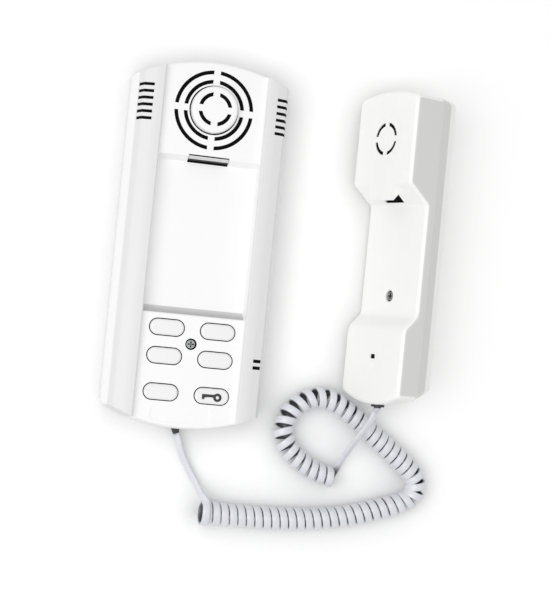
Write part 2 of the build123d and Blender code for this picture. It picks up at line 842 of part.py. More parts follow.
def make_handset_front():
    profile = handset_profile()
    outer = extrude(Plane.YZ * profile, handset_half_width, both=True)
    outer &= handset_plan(0, 0, seam, ear_face + overrun)
    rims = [e for e in outer.edges()
            if e.center().Z > grip_face - slip and not (
                abs(e.center().X) < slip and abs((e % 0).X) > 1 / 2 and abs(e.center().Y) < mouth_edge())]
    rims = [e for e in rims if abs((e % 0).Z) < 1 - 1 / 100]
    shell = fillet(rims, handset_edge_round)
    cavity_face = offset(profile, -handset_wall)
    cavity = extrude(Plane.YZ * cavity_face, handset_half_width - handset_wall, both=True)
    cavity &= handset_plan(handset_wall, handset_wall, -overrun, ear_face)
    shell -= cavity
    shell = chamfer(shell.faces().sort_by(Axis.Z)[0].outer_wire().edges(), seam_chamfer)

    # Hook opening under a tab that carries on the ear face, with a cheek at each side
    tab_under = ear_face - tab_thickness
    cheek_end = grip_face + (tab_cheek_end_y - ear_step_low) * (
        (ear_face - grip_face) / (ear_step_high - ear_step_low))
    cheek = [(tab_end_y, tab_under), (tab_cheek_end_y, cheek_end), (ear_step_high, cheek_end),
             (ear_step_high, tab_under)]
    shell += along_x(cheek, tab_half_width)
    shell -= box(-hook_hole_half_width, hook_hole_half_width, hook_hole_low, ear_step_high,
                 grip_face - handset_wall, tab_under)
    shell += box(-tab_half_width, tab_half_width, tab_end_y, ear_step_high + ear_step_round,
                 tab_under, ear_face)

    # Ear dish and slots, mouth dish and hole, grip screw recess and post
    sphere_radius = (ear_dish_radius ** 2 + ear_dish_depth ** 2) / (2 * ear_dish_depth)
    shell -= Pos(0, ear_ring_y, ear_face - ear_dish_depth + sphere_radius) * Sphere(sphere_radius)
    shell -= prism(Pos(0, ear_ring_y) * ring_arcs(ear_ring_radius, ear_slot_width, ear_rib_width),
                   ear_face - 2 * handset_wall, ear_face + slip)
    mouth_sphere = (mouth_dish_radius ** 2 + mouth_dish_depth ** 2) / (2 * mouth_dish_depth)
    shell -= Pos(0, mouth_hole_y - mouth_dish_shift, mouth_face - mouth_dish_depth + mouth_sphere) * Sphere(
        mouth_sphere)
    shell -= prism(Pos(0, mouth_hole_y) * Rectangle(mouth_hole_length, mouth_hole_width),
                   mouth_face - 2 * handset_wall, mouth_face + slip)
    shell += rod(post_diameter / 2, 0, grip_screw_y, seam + slip, grip_face - handset_wall / 2)
    shell -= rod(grip_screw_recess_diameter / 2, 0, grip_screw_y, grip_face - screw_recess_depth,
                 ear_face)
    shell -= rod(screw_shank_diameter / 2 + pilot_clearance, 0, grip_screw_y, seam, ear_face)
    return shell - handset_gland_hole()


def mouth_edge():
    return handset_half_length - 2 * handset_foot_rise


def handset_gland_hole():
    hole = Cylinder(handset_gland_diameter / 2, 4 * handset_wall)
    return Pos(0, -handset_half_length, handset_gland_height) * Rot(90, 0, 0) * hole


def back_outline(inset, z):
    """Outline of the back shell at a height: its sides and its foot end draw in towards the back."""
    share = (seam - z) / back_depth
    foot_shift = back_foot_draft * share / 2
    outline = plan_outline(handset_half_width - inset - back_side_draft * share,
                           handset_half_length - inset - foot_shift,
                           handset_top_rise, handset_foot_rise, handset_corner)
    return Plane.XY.offset(z) * Pos(0, foot_shift) * outline


def back_loft(inset, low, high):
    return loft([back_outline(inset, low), back_outline(inset, high)], ruled=True)


def make_handset_back():
    outer = back_loft(0, 0, seam - seam_chamfer)
    outer = fillet(outer.edges().group_by(Axis.Z)[0], back_round)
    outer += loft([back_outline(0, seam - seam_chamfer), back_outline(seam_chamfer, seam)], ruled=True)
    cavity = back_loft(handset_wall, handset_wall, seam + handset_wall)
    shell = outer - cavity
    shell += rod(post_diameter / 2, 0, grip_screw_y, handset_wall / 2, seam - slip)
    return shell - rod(screw_shank_diameter / 2 + pilot_clearance, 0, grip_screw_y,
                       back_depth / 2, seam + slip)


def make_handset_screw():
    seat = grip_face - screw_recess_depth
    return make_screw(0, grip_screw_y, seat + screw_head_height, seat - back_depth / 2 - slip)


def make_receiver_capsule():
    top = ear_face - handset_wall - receiver_gasket_thickness - ear_dish_depth
    low = top - receiver_height
    capsule = rod(receiver_radius, 0, ear_ring_y, low, top)
    return capsule + rod(receiver_radius / 2, 0, ear_ring_y, handset_wall, low)


def make_receiver_gasket():
    top = ear_face - handset_wall - ear_dish_depth
    low = top - receiver_gasket_thickness
    gasket = rod(receiver_radius, 0, ear_ring_y, low, top)
    return gasket - rod(receiver_radius - receiver_gasket_width, 0, ear_ring_y, low - slip, top + slip)


def make_microphone_capsule():
    top = mouth_face - handset_wall - mouth_dish_depth - slip
    return rod(microphone_radius, 0, mouth_hole_y, top - microphone_height, top)


def make_microphone_boot():
    top = mouth_face - handset_wall - mouth_dish_depth - slip
    outer = microphone_radius + microphone_boot_wall
    boot = rod(outer, 0, mouth_hole_y, handset_wall, top)
    return boot - rod(microphone_radius, 0, mouth_hole_y, top - microphone_height, top + slip)


def make_balance_weight():
    bar = box(-weight_width / 2, weight_width / 2, -weight_length / 2, weight_length / 2,
              handset_wall, handset_wall + weight_height)
    bar -= rod(post_diameter / 2 + slip, 0, grip_screw_y, -slip, seam)
    for y in weight_screw_ys():
        bar -= rod(screw_shank_diameter / 2 + pilot_clearance, 0, y, -slip, seam)
    return bar


def weight_screw_ys():
    return [0, weight_length / 2 - weight_screw_inset]


def make_weight_screws():
    top = handset_wall + weight_height + screw_head_height
    return [make_screw(0, y, top, weight_height) for y in weight_screw_ys()]


def blend_value(table, share):
    """A value read from evenly spaced entries."""
    place = min(max(share, 0), 1) * (len(table) - 1)
    index = min(int(place), len(table) - 2)
    return table[index] + (table[index + 1] - table[index]) * (place - index)


def coil_frame(line, share):
    """Middle point and the two directions across the coil at a share of its length."""
    ahead = line % share
    flat = Vector(ahead.X, ahead.Y, 0).normalized()
    left = Vector(-flat.Y, flat.X, 0)
    return line @ share, left, Vector(0, 0, 1)


def coil_shares(steps):
    """Share of the line's length at every step, from the pitch shares."""
    shares = [0.0]
    for index in range(steps):
        shares.append(shares[-1] + blend_value(pitch_shares, index / steps))
    return [value / shares[-1] for value in shares]


def coil_point(line, shares, steps, place):
    index = min(int(place), steps - 1)
    share = shares[index] + (shares[index + 1] - shares[index]) * (place - index)
    turn_angle = math.radians(coil_start_angle
                              + (360 * curl_count + coil_end_angle - coil_start_angle) * place / steps)
    outer = coil_start_diameter + (coil_end_diameter - coil_start_diameter) * place / steps
    radius = (outer - cord_diameter) / 2
    middle, left, up = coil_frame(line, share)
    lift = Vector(0, 0, outer / 2)
    return middle + lift + left * (radius * math.cos(turn_angle)) + up * (radius * math.sin(turn_angle))


def biarc(start, start_way, end, end_way):
    """Two arcs that join two points with the given directions."""
    chord = end - start
    ways = start_way + end_way
    spread = 2 * (1 - start_way.dot(end_way))
    along = chord.dot(ways)
    reach = (-along + math.sqrt(along ** 2 + spread * chord.dot(chord))) / spread
    middle = (start + start_way * reach + end - end_way * reach) / 2
    middle_way = (end - end_way * reach - start - start_way * reach).normalized()
    return [Edge.make_tangent_arc(start, start_way, middle), Edge.make_tangent_arc(middle, middle_way, end)]


def coil_path():
    line = Spline(*[(x, y, 0) for x, y in coil_axis])
    turns = curl_count + (coil_end_angle - coil_start_angle) / 360
    steps = round(turns * steps_per_curl * 4)
    shares = coil_shares(steps)
    places = [index * steps / round(turns * steps_per_curl) for index in range(round(turns * steps_per_curl) + 1)]
    points = [coil_point(line, shares, steps, place) for place in places]
    step_share = 1 / 100
    ways = []
    for place in places:
        before = coil_point(line, shares, steps, max(place - step_share, 0))
        after = coil_point(line, shares, steps, min(place + step_share, steps))
        ways.append((after - before).normalized())
    edges = [Edge.make_line(points[0] - ways[0] * cord_diameter, points[0])]
    for index in range(len(points) - 1):
        edges += biarc(points[index], ways[index], points[index + 1], ways[index + 1])
    edges.append(Edge.make_line(points[-1], points[-1] + ways[-1] * cord_diameter))
    return edges, points[0] - ways[0] * cord_diameter, ways[0], points[-1] + ways[-1] * cord_diameter, ways[-1]


def self_gap(edges):
    """Least gap of a wound tube to itself, measured on points along its middle line."""
    samples = []
    run = 0
    for edge in edges:
        count = 6
        for index in range(count):
            samples.append((run + edge.length * index / count, edge @ (index / count)))
        run += edge.length
    least = None
    for index, (place, point) in enumerate(samples):
        for other_place, other in samples[index + 1:]:
            if other_place - place > 3 * cord_diameter:
                distance = (other - point).length
                if least is None or distance < least:
                    least = distance
    return least - cord_diameter, run


def lead_path(start, start_way, points, end, end_way):
    """Runs joined by tangent arcs, each as large as its two runs allow."""
    route = [start, start + start_way * lead_end_run]
    route += [Vector(*point) for point in points]
    route += [end - end_way * lead_end_run, end]
    radii = []
    for before, corner, after in zip(route, route[1:], route[2:]):
        turn = math.radians((corner - before).get_angle(after - corner))
        shorter = min((corner - before).length, (after - corner).length)
        radii.append(corner_share * shorter / math.tan(turn / 2))
    print("lead radii", [round(radius, 1) for radius in radii])
    return FilletPolyline(*route, radius=radii)


def cord_tube(path, start, way):
    section = Plane(origin=start, z_dir=way) * Circle(cord_diameter / 2)
    return sweep(section, path=path)


def make_cords():
    edges, start, start_way, end, end_way = coil_path()
    gap, run = self_gap(edges)
    print("curly cord: least gap to itself", round(gap, 2), "length along the wire", round(run, 1))
    coil = cord_tube(Wire(edges), start, start_way)
    print("curly cord volume", round(coil.volume, 1), "section times length",
          round(math.pi * cord_diameter ** 2 / 4 * run, 1))

    base_tip = base_gland_place() * nozzle_tip_place(base_gland_proud, nozzle_turn)
    base_start = base_tip.position
    base_way = Plane(base_tip).z_dir
    base_path = lead_path(base_start, base_way, base_lead_points, start, start_way)
    base_lead = cord_tube(base_path, base_start, base_way)

    tip = handset_gland_place() * nozzle_tip_place(handset_gland_proud, -nozzle_turn)
    tip_way = Plane(tip).z_dir
    handset_path = lead_path(end, end_way, handset_lead_points, tip.position, tip_way * -1)
    handset_lead = cord_tube(handset_path, end, end_way)
    for name, tube, path in (("base lead", base_lead, base_path), ("handset lead", handset_lead, handset_path)):
        print(name, "length", round(path.length, 1), "volume", round(tube.volume, 1), "section times length",
              round(math.pi * cord_diameter ** 2 / 4 * path.length, 1))
    return coil, base_lead, handset_lead


def save(name, shape):
    if isinstance(shape, list):
        shape = Compound(children=shape)
    export_step(shape, f"parts/{name}.step")


def main():
    os.makedirs("parts", exist_ok=True)
    base_parts = {
        "wall_bracket": make_wall_bracket(), "rear_case": make_rear_case(), "front_case": make_front_case(),
        "case_screw": make_case_screw(), "main_board": make_main_board(), "board_screws": make_board_screws(),
        "terminal_block": make_terminal_block(), "terminal_screws": make_terminal_screws(),
        "line_transformer": make_line_transformer(), "capacitors": make_capacitors(),
        "amplifier_chip": make_amplifier_chip(), "speaker_frame": make_speaker_frame(),
        "speaker_cone": make_speaker_cone(), "speaker_magnet": make_speaker_magnet(),
        "speaker_gasket": make_speaker_gasket(), "hook_lever": make_hook_lever(),
        "hook_pivot_pin": make_hook_pivot_pin(), "hook_spring": make_hook_spring(),
        "hook_switch": make_hook_switch(), "key_switches": make_key_switches(),
        "key_symbol": make_key_symbol(), "base_cord_gland": make_base_cord_gland(),
    }
    for name, shape in base_parts.items():
        save(name, shape)
    button_names = [f"call_button_{index + 1}" for index in range(len(button_places) - 1)] + ["door_button"]
    for name, (x, y) in zip(button_names, button_places):
        save(name, make_button(x, y))
    handset_parts = {
        "handset_front_shell": make_handset_front(), "handset_back_shell": make_handset_back(),
        "handset_screw": make_handset_screw(), "receiver_capsule": make_receiver_capsule(),
        "receiver_gasket": make_receiver_gasket(), "microphone_capsule": make_microphone_capsule(),
        "microphone_boot": make_microphone_boot(), "balance_weight": make_balance_weight(),
        "weight_screws": make_weight_screws(),
    }
    for name, shape in handset_parts.items():
        pieces = shape if isinstance(shape, list) else [shape]
        placed = [handset_place * piece for piece in pieces]
        save(name, placed if len(placed) > 1 else placed[0])
    save("handset_cord_gland", make_handset_gland())
    coil, base_lead, handset_lead = make_cords()
    save("curly_cord", coil)
    save("base_lead", base_lead)
    save("handset_lead", handset_lead)


main()
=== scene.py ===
import math
import bpy
import numpy as np
from mathutils import Matrix, Vector


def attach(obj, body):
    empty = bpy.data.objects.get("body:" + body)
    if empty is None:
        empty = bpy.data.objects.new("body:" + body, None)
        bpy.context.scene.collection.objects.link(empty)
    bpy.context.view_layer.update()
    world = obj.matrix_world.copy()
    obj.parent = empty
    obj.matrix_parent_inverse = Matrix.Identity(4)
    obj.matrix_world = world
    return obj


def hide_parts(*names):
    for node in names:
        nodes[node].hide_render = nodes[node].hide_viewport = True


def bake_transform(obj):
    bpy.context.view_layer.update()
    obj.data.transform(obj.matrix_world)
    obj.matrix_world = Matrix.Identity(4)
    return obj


# Audio intercom: a wall base that lies on its back, and its handset beside it on a curly cord.
# +Y runs to the speaker end, +Z comes out of the front, and everything is in metres.

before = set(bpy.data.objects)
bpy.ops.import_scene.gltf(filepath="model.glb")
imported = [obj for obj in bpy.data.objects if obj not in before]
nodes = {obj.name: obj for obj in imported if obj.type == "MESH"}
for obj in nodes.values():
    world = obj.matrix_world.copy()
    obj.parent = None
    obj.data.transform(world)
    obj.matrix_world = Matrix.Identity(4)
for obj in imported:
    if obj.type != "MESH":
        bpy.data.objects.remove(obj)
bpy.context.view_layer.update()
collection = bpy.context.scene.collection
mm = 0.001

# Camera, fitted to the base's corners, vents and grille in the photograph
cameraView = {
    "place": (-143.9, -53.6, 941.6),  # mm
    "turn": (-1.62, 11.82, -5.88),    # degrees about X, Y and Z
    "focal": 1573.0,                  # pixels
    "imageHeight": 600.0,             # pixels
    "sensor": 36.0,                   # mm
    "nearest": 0.01,                  # metres
}


def addCamera(view):
    data = bpy.data.cameras.new("camera")
    data.sensor_width = view["sensor"]
    data.lens = view["focal"] / view["imageHeight"] * view["sensor"]
    data.clip_start = view["nearest"]
    camera = bpy.data.objects.new("camera", data)
    turnX, turnY, turnZ = (math.radians(angle) for angle in view["turn"])
    toCamera = (Matrix.Rotation(turnZ, 4, "Z") @ Matrix.Rotation(turnY, 4, "Y")
                @ Matrix.Rotation(turnX, 4, "X"))
    camera.matrix_world = Matrix.Translation(Vector(view["place"]) * mm) @ toCamera.transposed()
    collection.objects.link(camera)
    bpy.context.scene.camera = camera


addCamera(cameraView)
print("camera set")


def meshObject(name, points, faces, smooth=True):
    # an array of points and a list of faces become a mesh object at the origin
    mesh = bpy.data.meshes.new(name)
    mesh.from_pydata(np.asarray(points).tolist(), [], faces)
    mesh.polygons.foreach_set("use_smooth", [smooth] * len(mesh.polygons))
    mesh.update()
    obj = bpy.data.objects.new(name, mesh)
    collection.objects.link(obj)
    return obj


def tubeFaces(rings, sides, closed=False):
    # quads between neighbouring rings, with a cap at each end unless the last ring joins the first
    last = rings if closed else rings - 1
    i, j = np.meshgrid(np.arange(last), np.arange(sides), indexing="ij")
    nextI, nextJ = (i + 1) % rings, (j + 1) % sides
    quads = np.stack([i * sides + j, i * sides + nextJ, nextI * sides + nextJ, nextI * sides + j], axis=-1)
    faces = quads.reshape(-1, 4).tolist()
    if not closed:
        faces.append(list(range(sides))[::-1])
        faces.append(list(range((rings - 1) * sides, rings * sides)))
    return faces


def routeFrom(name, controlPoints, resolution):
    # points along a smooth NURBS line that has these control points
    curve = bpy.data.curves.new(name, "CURVE")
    curve.dimensions = "3D"
    spline = curve.splines.new("NURBS")
    spline.points.add(len(controlPoints) - 1)
    four = np.c_[np.asarray(controlPoints, float), np.ones(len(controlPoints))]
    spline.points.foreach_set("co", four.ravel())
    spline.order_u = 3
    spline.use_endpoint_u = True
    spline.resolution_u = resolution
    holder = bpy.data.objects.new(name, curve)
    collection.objects.link(holder)
    bpy.context.view_layer.update()
    line = bpy.data.meshes.new_from_object(holder)
    points = np.empty(len(line.vertices) * 3)
    line.vertices.foreach_get("co", points)
    bpy.data.objects.remove(holder)
    return points.reshape(-1, 3)


def unit(rows):
    # each row divided by its own length
    return rows / np.maximum(np.linalg.norm(rows, axis=-1, keepdims=True), 1e-12)


def along(points):
    # distance from the first point to each point, along the line
    return np.r_[0, np.cumsum(np.linalg.norm(np.diff(points, axis=0), axis=1))]


def readAt(distances, places, rows):
    # the rows that belong to these distances, read off at other places along the line
    return np.stack([np.interp(places, distances, rows[:, k]) for k in range(rows.shape[1])], axis=1)


def fade(values, start, end):
    # a soft step from 0 at start to 1 at end
    share = np.clip((values - start) / (end - start), 0, 1)
    return share * share * (3 - 2 * share)


# Curly cord: a flat cord wound on a bar, with a free lead at each end
cordShape = {
    "width": 4.7 * mm,
    "thickness": 1.9 * mm,
    "startDiameter": 14.2 * mm,
    "endDiameter": 12.8 * mm,
    "startAngle": 50,          # degrees round the coil
    "endAngle": 290,
    "pointsPerTurn": 16,
    "sides": 16,
    "corners": (0.55, 0.8),    # powers of the section's superellipse: flat sides with round edges
    "edgeShare": 4,            # power that keeps the edge's tone close to the edge
    "wobble": 0.3 * mm,
    "waves": [(1.7, 0), (0.61, 2), (3.3, 1)],  # radians per turn, and where each wave starts
    "overlapShift": 3.4 * mm,  # the first turn lies over the second one, beside the open end
    "overlapRise": 2.0 * mm,
    "overlapTurns": (0.15, 0.75),
    "middleSteps": 24,         # points between two control points of the middle line
    "routeSteps": 3,           # and of the cord itself
    # middle line of the coil on the surface, and both leads, as in the part's source, in mm
    "axis": [
        (16.8, -157.7), (30, -158.9), (46.4, -159.3), (61, -159.2), (76.1, -158.6), (90, -157.4),
        (103, -155.6), (113.5, -153.3), (123, -150.6), (134, -147.2), (143.2, -144), (148.4, -140.8),
        (151.2, -136.2), (151.2, -130.8), (148.6, -125.8), (141.2, -118.9), (132.4, -112), (124, -105.8),
        (115.6, -99.2), (107.9, -93.5), (101.4, -88.9), (94.3, -85), (87.2, -83.3), (80.8, -84.1),
        (74.9, -86.9), (69.6, -91.4), (65.6, -97), (64.1, -103.7), (65.4, -110.8), (69.6, -117),
        (75.4, -122.5), (82.2, -126.8), (89, -129.7), (98.4, -132),
    ],
    # distance along the middle line, and how far one curl lies from the next, in mm
    "pitchAt": [0, 100, 125, 148, 160, 190, 205, 235, 265, 285, 310],
    "pitch": [5.25, 5.35, 5.6, 5.7, 5.4, 5.3, 6.2, 7.0, 7.0, 6.0, 5.5],
    "baseLead": [(-0.65, -112.67, 5.2), (1.4, -118.3, 5.2), (4.4, -125.6, 3.4), (8.8, -132.9, 2.3),
                 (13.4, -140, 2.6), (16.8, -146, 5.6), (19.4, -150, 10.4)],
    "handsetLead": [(102.3, -121.8, 6.6), (103.8, -117.2, 9.6), (106.6, -110.8, 13.6), (109.3, -104.4, 18),
                    (112.2, -98.4, 22.4), (114.4, -93.1, 25.2), (115.86, -87.47, 27.2)],
    "baseLeadTilt": 58,        # degrees: a lead shows its narrow side
    "handsetLeadTilt": 35,
}


def coilPoints(shape):
    # control points of the curls: middle line + sideways * r cos(turn) + up * r sin(turn), where the
    # turn grows by a full circle over each pitch along the middle line
    flat = np.array(shape["axis"]) * mm
    middle = routeFrom("coilMiddle", np.c_[flat, np.zeros(len(flat))], shape["middleSteps"])
    distance = along(middle)
    ahead = unit(np.gradient(middle, axis=0))
    pitch = np.interp(distance / mm, shape["pitchAt"], shape["pitch"]) * mm
    turns = np.r_[0, np.cumsum(np.diff(distance) * 2 / (pitch[1:] + pitch[:-1]))]
    lastTurn = round(turns[-1]) + (shape["endAngle"] - shape["startAngle"]) / 360
    print("curls", round(lastTurn, 2))
    count = int(lastTurn * shape["pointsPerTurn"])
    turnAt = np.linspace(0, lastTurn, count)
    share = turnAt / lastTurn
    place = np.interp(share, turns / turns[-1], distance)
    centre = readAt(distance, place, middle)
    way = unit(readAt(distance, place, ahead))
    side = np.c_[-way[:, 1], way[:, 0], np.zeros(count)]
    up = np.array([0, 0, 1.0])
    outer = shape["startDiameter"] + (shape["endDiameter"] - shape["startDiameter"]) * share
    waves = sum(np.sin(turnAt * speed + start) for speed, start in shape["waves"]) / len(shape["waves"])
    radius = (outer - shape["thickness"]) / 2 + shape["wobble"] * (waves - 1) / 2
    over = 1 - fade(turnAt, *shape["overlapTurns"])
    angle = np.radians(shape["startAngle"]) + turnAt * 2 * math.pi
    centre = centre + up * (radius + shape["thickness"] / 2)[:, None]
    radial = side * np.cos(angle)[:, None] + up * np.sin(angle)[:, None]
    points = (centre + radial * (radius + shape["overlapRise"] * over)[:, None]
              + way * (shape["overlapShift"] * over)[:, None])
    return points, way, radial


def leadWidth(points, tilt, like):
    # where a lead's wide side points: level, then leaned over by the tilt, on the same side as like
    way = unit(np.gradient(points, axis=0))
    level = unit(np.c_[-way[:, 1], way[:, 0], np.zeros(len(points))])
    upright = np.cross(way, level)
    wide = level * math.cos(math.radians(tilt)) + upright * math.sin(math.radians(tilt))
    return wide * np.sign(wide @ like)[:, None]


def flatCord(name, shape):
    # a flat section with round edges, carried along the whole cord; its wide side lies along the coil's
    # middle line on the curls and leans over on the leads
    curls, curlWay, radial = coilPoints(shape)
    first = np.array(shape["baseLead"]) * mm
    last = np.array(shape["handsetLead"]) * mm
    control = np.vstack([first, curls, last])
    wide = np.vstack([leadWidth(first, shape["baseLeadTilt"], curlWay[0]), curlWay,
                      leadWidth(last, shape["handsetLeadTilt"], curlWay[-1])])
    outward = np.vstack([first * 0, radial, last * 0])
    line = routeFrom(name + "Route", control, shape["routeSteps"])
    distance = along(line)
    controlShare = along(control) / along(control)[-1]
    share = distance / distance[-1]
    way = unit(np.gradient(line, axis=0))
    across = readAt(controlShare, share, wide)
    across = unit(across - way * np.sum(across * way, axis=1)[:, None])
    out = np.cross(way, across)
    facing = np.sum(out * readAt(controlShare, share, outward), axis=1)
    angle = np.linspace(0, 2 * math.pi, shape["sides"], endpoint=False)
    # the section: half its width times cos to a power, and half its thickness times sin to a power
    widePower, thickPower = shape["corners"]
    wideShare = np.sign(np.cos(angle)) * np.abs(np.cos(angle)) ** widePower
    thickShare = np.sign(np.sin(angle)) * np.abs(np.sin(angle)) ** thickPower
    rings = (line[:, None, :]
             + across[:, None, :] * (wideShare * shape["width"] / 2)[None, :, None]
             + out[:, None, :] * (thickShare * shape["thickness"] / 2)[None, :, None])
    piece = meshObject(name, rings.reshape(-1, 3), tubeFaces(len(line), shape["sides"]))
    # for the cord's painted shade: 1 on the curls' outer side and -1 on their inner side, and 1 at the edges
    values = {"outside": facing[:, None] * thickShare,
              "edge": np.abs(facing)[:, None] * np.abs(wideShare) ** shape["edgeShare"]}
    for key, rows in values.items():
        attribute = piece.data.attributes.new(key, "FLOAT", "POINT")
        attribute.data.foreach_set("value", rows.ravel())
    return piece, line


cordPiece, cordLine = flatCord("curlyCordFlat", cordShape)
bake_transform(cordPiece)
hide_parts("base_lead", "curly_cord", "handset_lead")


# Materials
def linear(code):
    # sRGB hex colour to linear values
    values = [int(code[k:k + 2], 16) / 255 for k in (1, 3, 5)]
    return [v / 12.92 if v <= 0.04045 else ((v + 0.055) / 1.055) ** 2.4 for v in values] + [1.0]


def addNode(tree, kind, settings=None, inputs=None):
    # adds one node and sets its properties; each input takes another node's socket, a hex colour or a value
    node = tree.nodes.new(kind)
    for key, value in (settings or {}).items():
        setattr(node, key, value)
    for key, value in (inputs or {}).items():
        if isinstance(value, bpy.types.NodeSocket):
            tree.links.new(value, node.inputs[key])
        else:
            node.inputs[key].default_value = linear(value) if isinstance(value, str) else value
    return node


def newTree(name):
    material = bpy.data.materials.new(name)
    material.use_nodes = True
    material.node_tree.nodes.clear()
    return material, material.node_tree


def fadeTone(tree, value, ends, below, above):
    # one colour below the first end, another above the second end, and a fade between them
    share = addNode(tree, "ShaderNodeMapRange", None,
                    {"Value": value, "From Min": ends[0], "From Max": ends[1]})
    mix = addNode(tree, "ShaderNodeMix", {"data_type": "RGBA"}, {0: share.outputs[0], 6: below, 7: above})
    return mix.outputs[2]


def boxTone(tree, colour, place, box, inside):
    # another colour where |x| is under half the box's width, y lies between its ends and z under its top
    halfWidth, near, far, top = box
    axes = addNode(tree, "ShaderNodeSeparateXYZ", None, {"Vector": place}).outputs
    across = addNode(tree, "ShaderNodeMath", {"operation": "ABSOLUTE"}, {0: axes["X"]}).outputs[0]
    share = 1.0
    for operation, value, limit in (("LESS_THAN", across, halfWidth), ("GREATER_THAN", axes["Y"], near),
                                    ("LESS_THAN", axes["Y"], far), ("LESS_THAN", axes["Z"], top)):
        test = addNode(tree, "ShaderNodeMath", {"operation": operation}, {0: value, 1: limit}).outputs[0]
        share = addNode(tree, "ShaderNodeMath", {"operation": "MULTIPLY"}, {0: share, 1: test}).outputs[0]
    mix = addNode(tree, "ShaderNodeMix", {"data_type": "RGBA"}, {0: share, 6: colour, 7: inside})
    return mix.outputs[2]


def surface(name, hexes, roughness, grain, bump, settings=None, patch=30 * mm, tint=None):
    # a moulded or worked surface: two close colours in patches of one size, a fine grain in the gloss and a
    # bump of (strength, height); tint is a function that may change the colour from place to place
    material, tree = newTree(name)
    place = addNode(tree, "ShaderNodeTexCoord").outputs["Object"]
    patches = addNode(tree, "ShaderNodeTexNoise", None, {"Vector": place, "Scale": 1 / patch, "Detail": 2.0})
    mix = addNode(tree, "ShaderNodeMix", {"data_type": "RGBA"},
                  {0: patches.outputs["Fac"], 6: hexes[0], 7: hexes[1]})
    colour = tint(tree, mix.outputs[2], place) if tint else mix.outputs[2]
    fine = addNode(tree, "ShaderNodeTexNoise", None, {"Vector": place, "Scale": 1 / grain, "Detail": 3.0})
    gloss = addNode(tree, "ShaderNodeMapRange", None,
                    {"Value": fine.outputs["Fac"], "To Min": roughness[0], "To Max": roughness[1]})
    inputs = {"Base Color": colour, "Roughness": gloss.outputs["Result"], **(settings or {})}
    if bump:
        relief = addNode(tree, "ShaderNodeBump", None,
                         {"Height": fine.outputs["Fac"], "Strength": bump[0], "Distance": bump[1]})
        inputs["Normal"] = relief.outputs["Normal"]
    shader = addNode(tree, "ShaderNodeBsdfPrincipled", None, inputs)
    addNode(tree, "ShaderNodeOutputMaterial", None, {"Surface": shader.outputs["BSDF"]})
    return material


# Painted shade: the caps and the walls of their openings are painted black below the panel's face, for the
# shade in the gaps, which draws the outlines
gapPaintedShade = {
    "face": 24.7 * mm,
    "fade": 0.1 * mm,
    "colour": "#0A0A0B",
    "openings": (27 * mm, -96 * mm, -44 * mm),  # half width, and both ends along the base
    "hookFace": 22.1 * mm,                      # painted shade: the hook's lower half is painted black for the shade of its slot
}


# painted shade: the given colour above the face, and the gap's black below it
def paintShadeBelow(tree, colour, place, face):
    height = addNode(tree, "ShaderNodeSeparateXYZ", None, {"Vector": place}).outputs["Z"]
    return fadeTone(tree, height, (face, face + gapPaintedShade["fade"]), gapPaintedShade["colour"], colour)


def capFootShade(tree, colour, place):
    return paintShadeBelow(tree, colour, place, gapPaintedShade["face"])


def hookShadeBelow(tree, colour, place):
    return paintShadeBelow(tree, colour, place, gapPaintedShade["hookFace"])


# Painted shade on the case: its rails are painted a little greyer than the panel, and the slope at the
# recess's lower end is painted darker
caseShadePaint = {
    "rails": (30.5 * mm, 45 * mm),
    "railFades": (0.2 * mm, 0.4 * mm),
    "railShadeColour": "#E4E4E4",
    "slope": (30 * mm, -42.3 * mm, -37.6 * mm, 23.95 * mm),  # half width, both ends and top
    "slopeShadeColours": ("#A6A6A6", "#D8D8D8"),
}


def paintCaseShade(tree, colour, place):
    axes = addNode(tree, "ShaderNodeSeparateXYZ", None, {"Vector": place}).outputs
    across = addNode(tree, "ShaderNodeMath", {"operation": "ABSOLUTE"}, {0: axes["X"]}).outputs[0]
    (inner, outer), (innerFade, outerFade) = caseShadePaint["rails"], caseShadePaint["railFades"]
    rail = fadeTone(tree, across, (outer, outer + outerFade), caseShadePaint["railShadeColour"], colour)
    colour = fadeTone(tree, across, (inner, inner + innerFade), colour, rail)
    shade = fadeTone(tree, axes["Y"], caseShadePaint["slope"][1:3], *caseShadePaint["slopeShadeColours"])
    colour = boxTone(tree, colour, place, caseShadePaint["slope"], shade)
    return boxTone(tree, colour, place, (*gapPaintedShade["openings"], gapPaintedShade["face"]), gapPaintedShade["colour"])


# The handset lies on its back's edge: its frame is turned about Y, in mm and degrees
handsetPlace = {"x": 137.3, "y": 9.9, "roll": 66.8, "halfWidth": 27.6, "backDepth": 16.6}

# Painted shade: its flanks, outside these distances from its middle plane, are painted greyer than its face
handsetFlankShade = {
    "frontFlank": 27.1 * mm,
    "backFlank": 23.5 * mm,
    "fade": 0.3 * mm,
    "flankShadeColour": "#D8D8D7",
}


def handsetFrame(place):
    # the handset's middle, the way across it and the way out of its face, in the common frame
    roll = math.radians(place["roll"])
    lift = place["halfWidth"] * math.sin(roll) - place["backDepth"] * math.cos(roll)
    middle = np.array([place["x"], place["y"], lift])
    across = np.array([math.cos(roll), 0, math.sin(roll)])
    outward = np.array([-math.sin(roll), 0, math.cos(roll)])
    return middle, across, outward


def paintFlankShade(tree, colour, place, flank):
    # how far a point lies across the handset is its place times the way across
    middle, across = handsetFrame(handsetPlace)[:2]
    sideways = addNode(tree, "ShaderNodeVectorMath", {"operation": "DOT_PRODUCT"}, {0: place, 1: across})
    edge = float(middle @ across) * mm + flank
    return fadeTone(tree, sideways.outputs["Value"], (edge, edge + handsetFlankShade["fade"]),
                    colour, handsetFlankShade["flankShadeColour"])


def frontFlankShade(tree, colour, place):
    return paintFlankShade(tree, colour, place, handsetFlankShade["frontFlank"])


def backFlankShade(tree, colour, place):
    return paintFlankShade(tree, colour, place, handsetFlankShade["backFlank"])


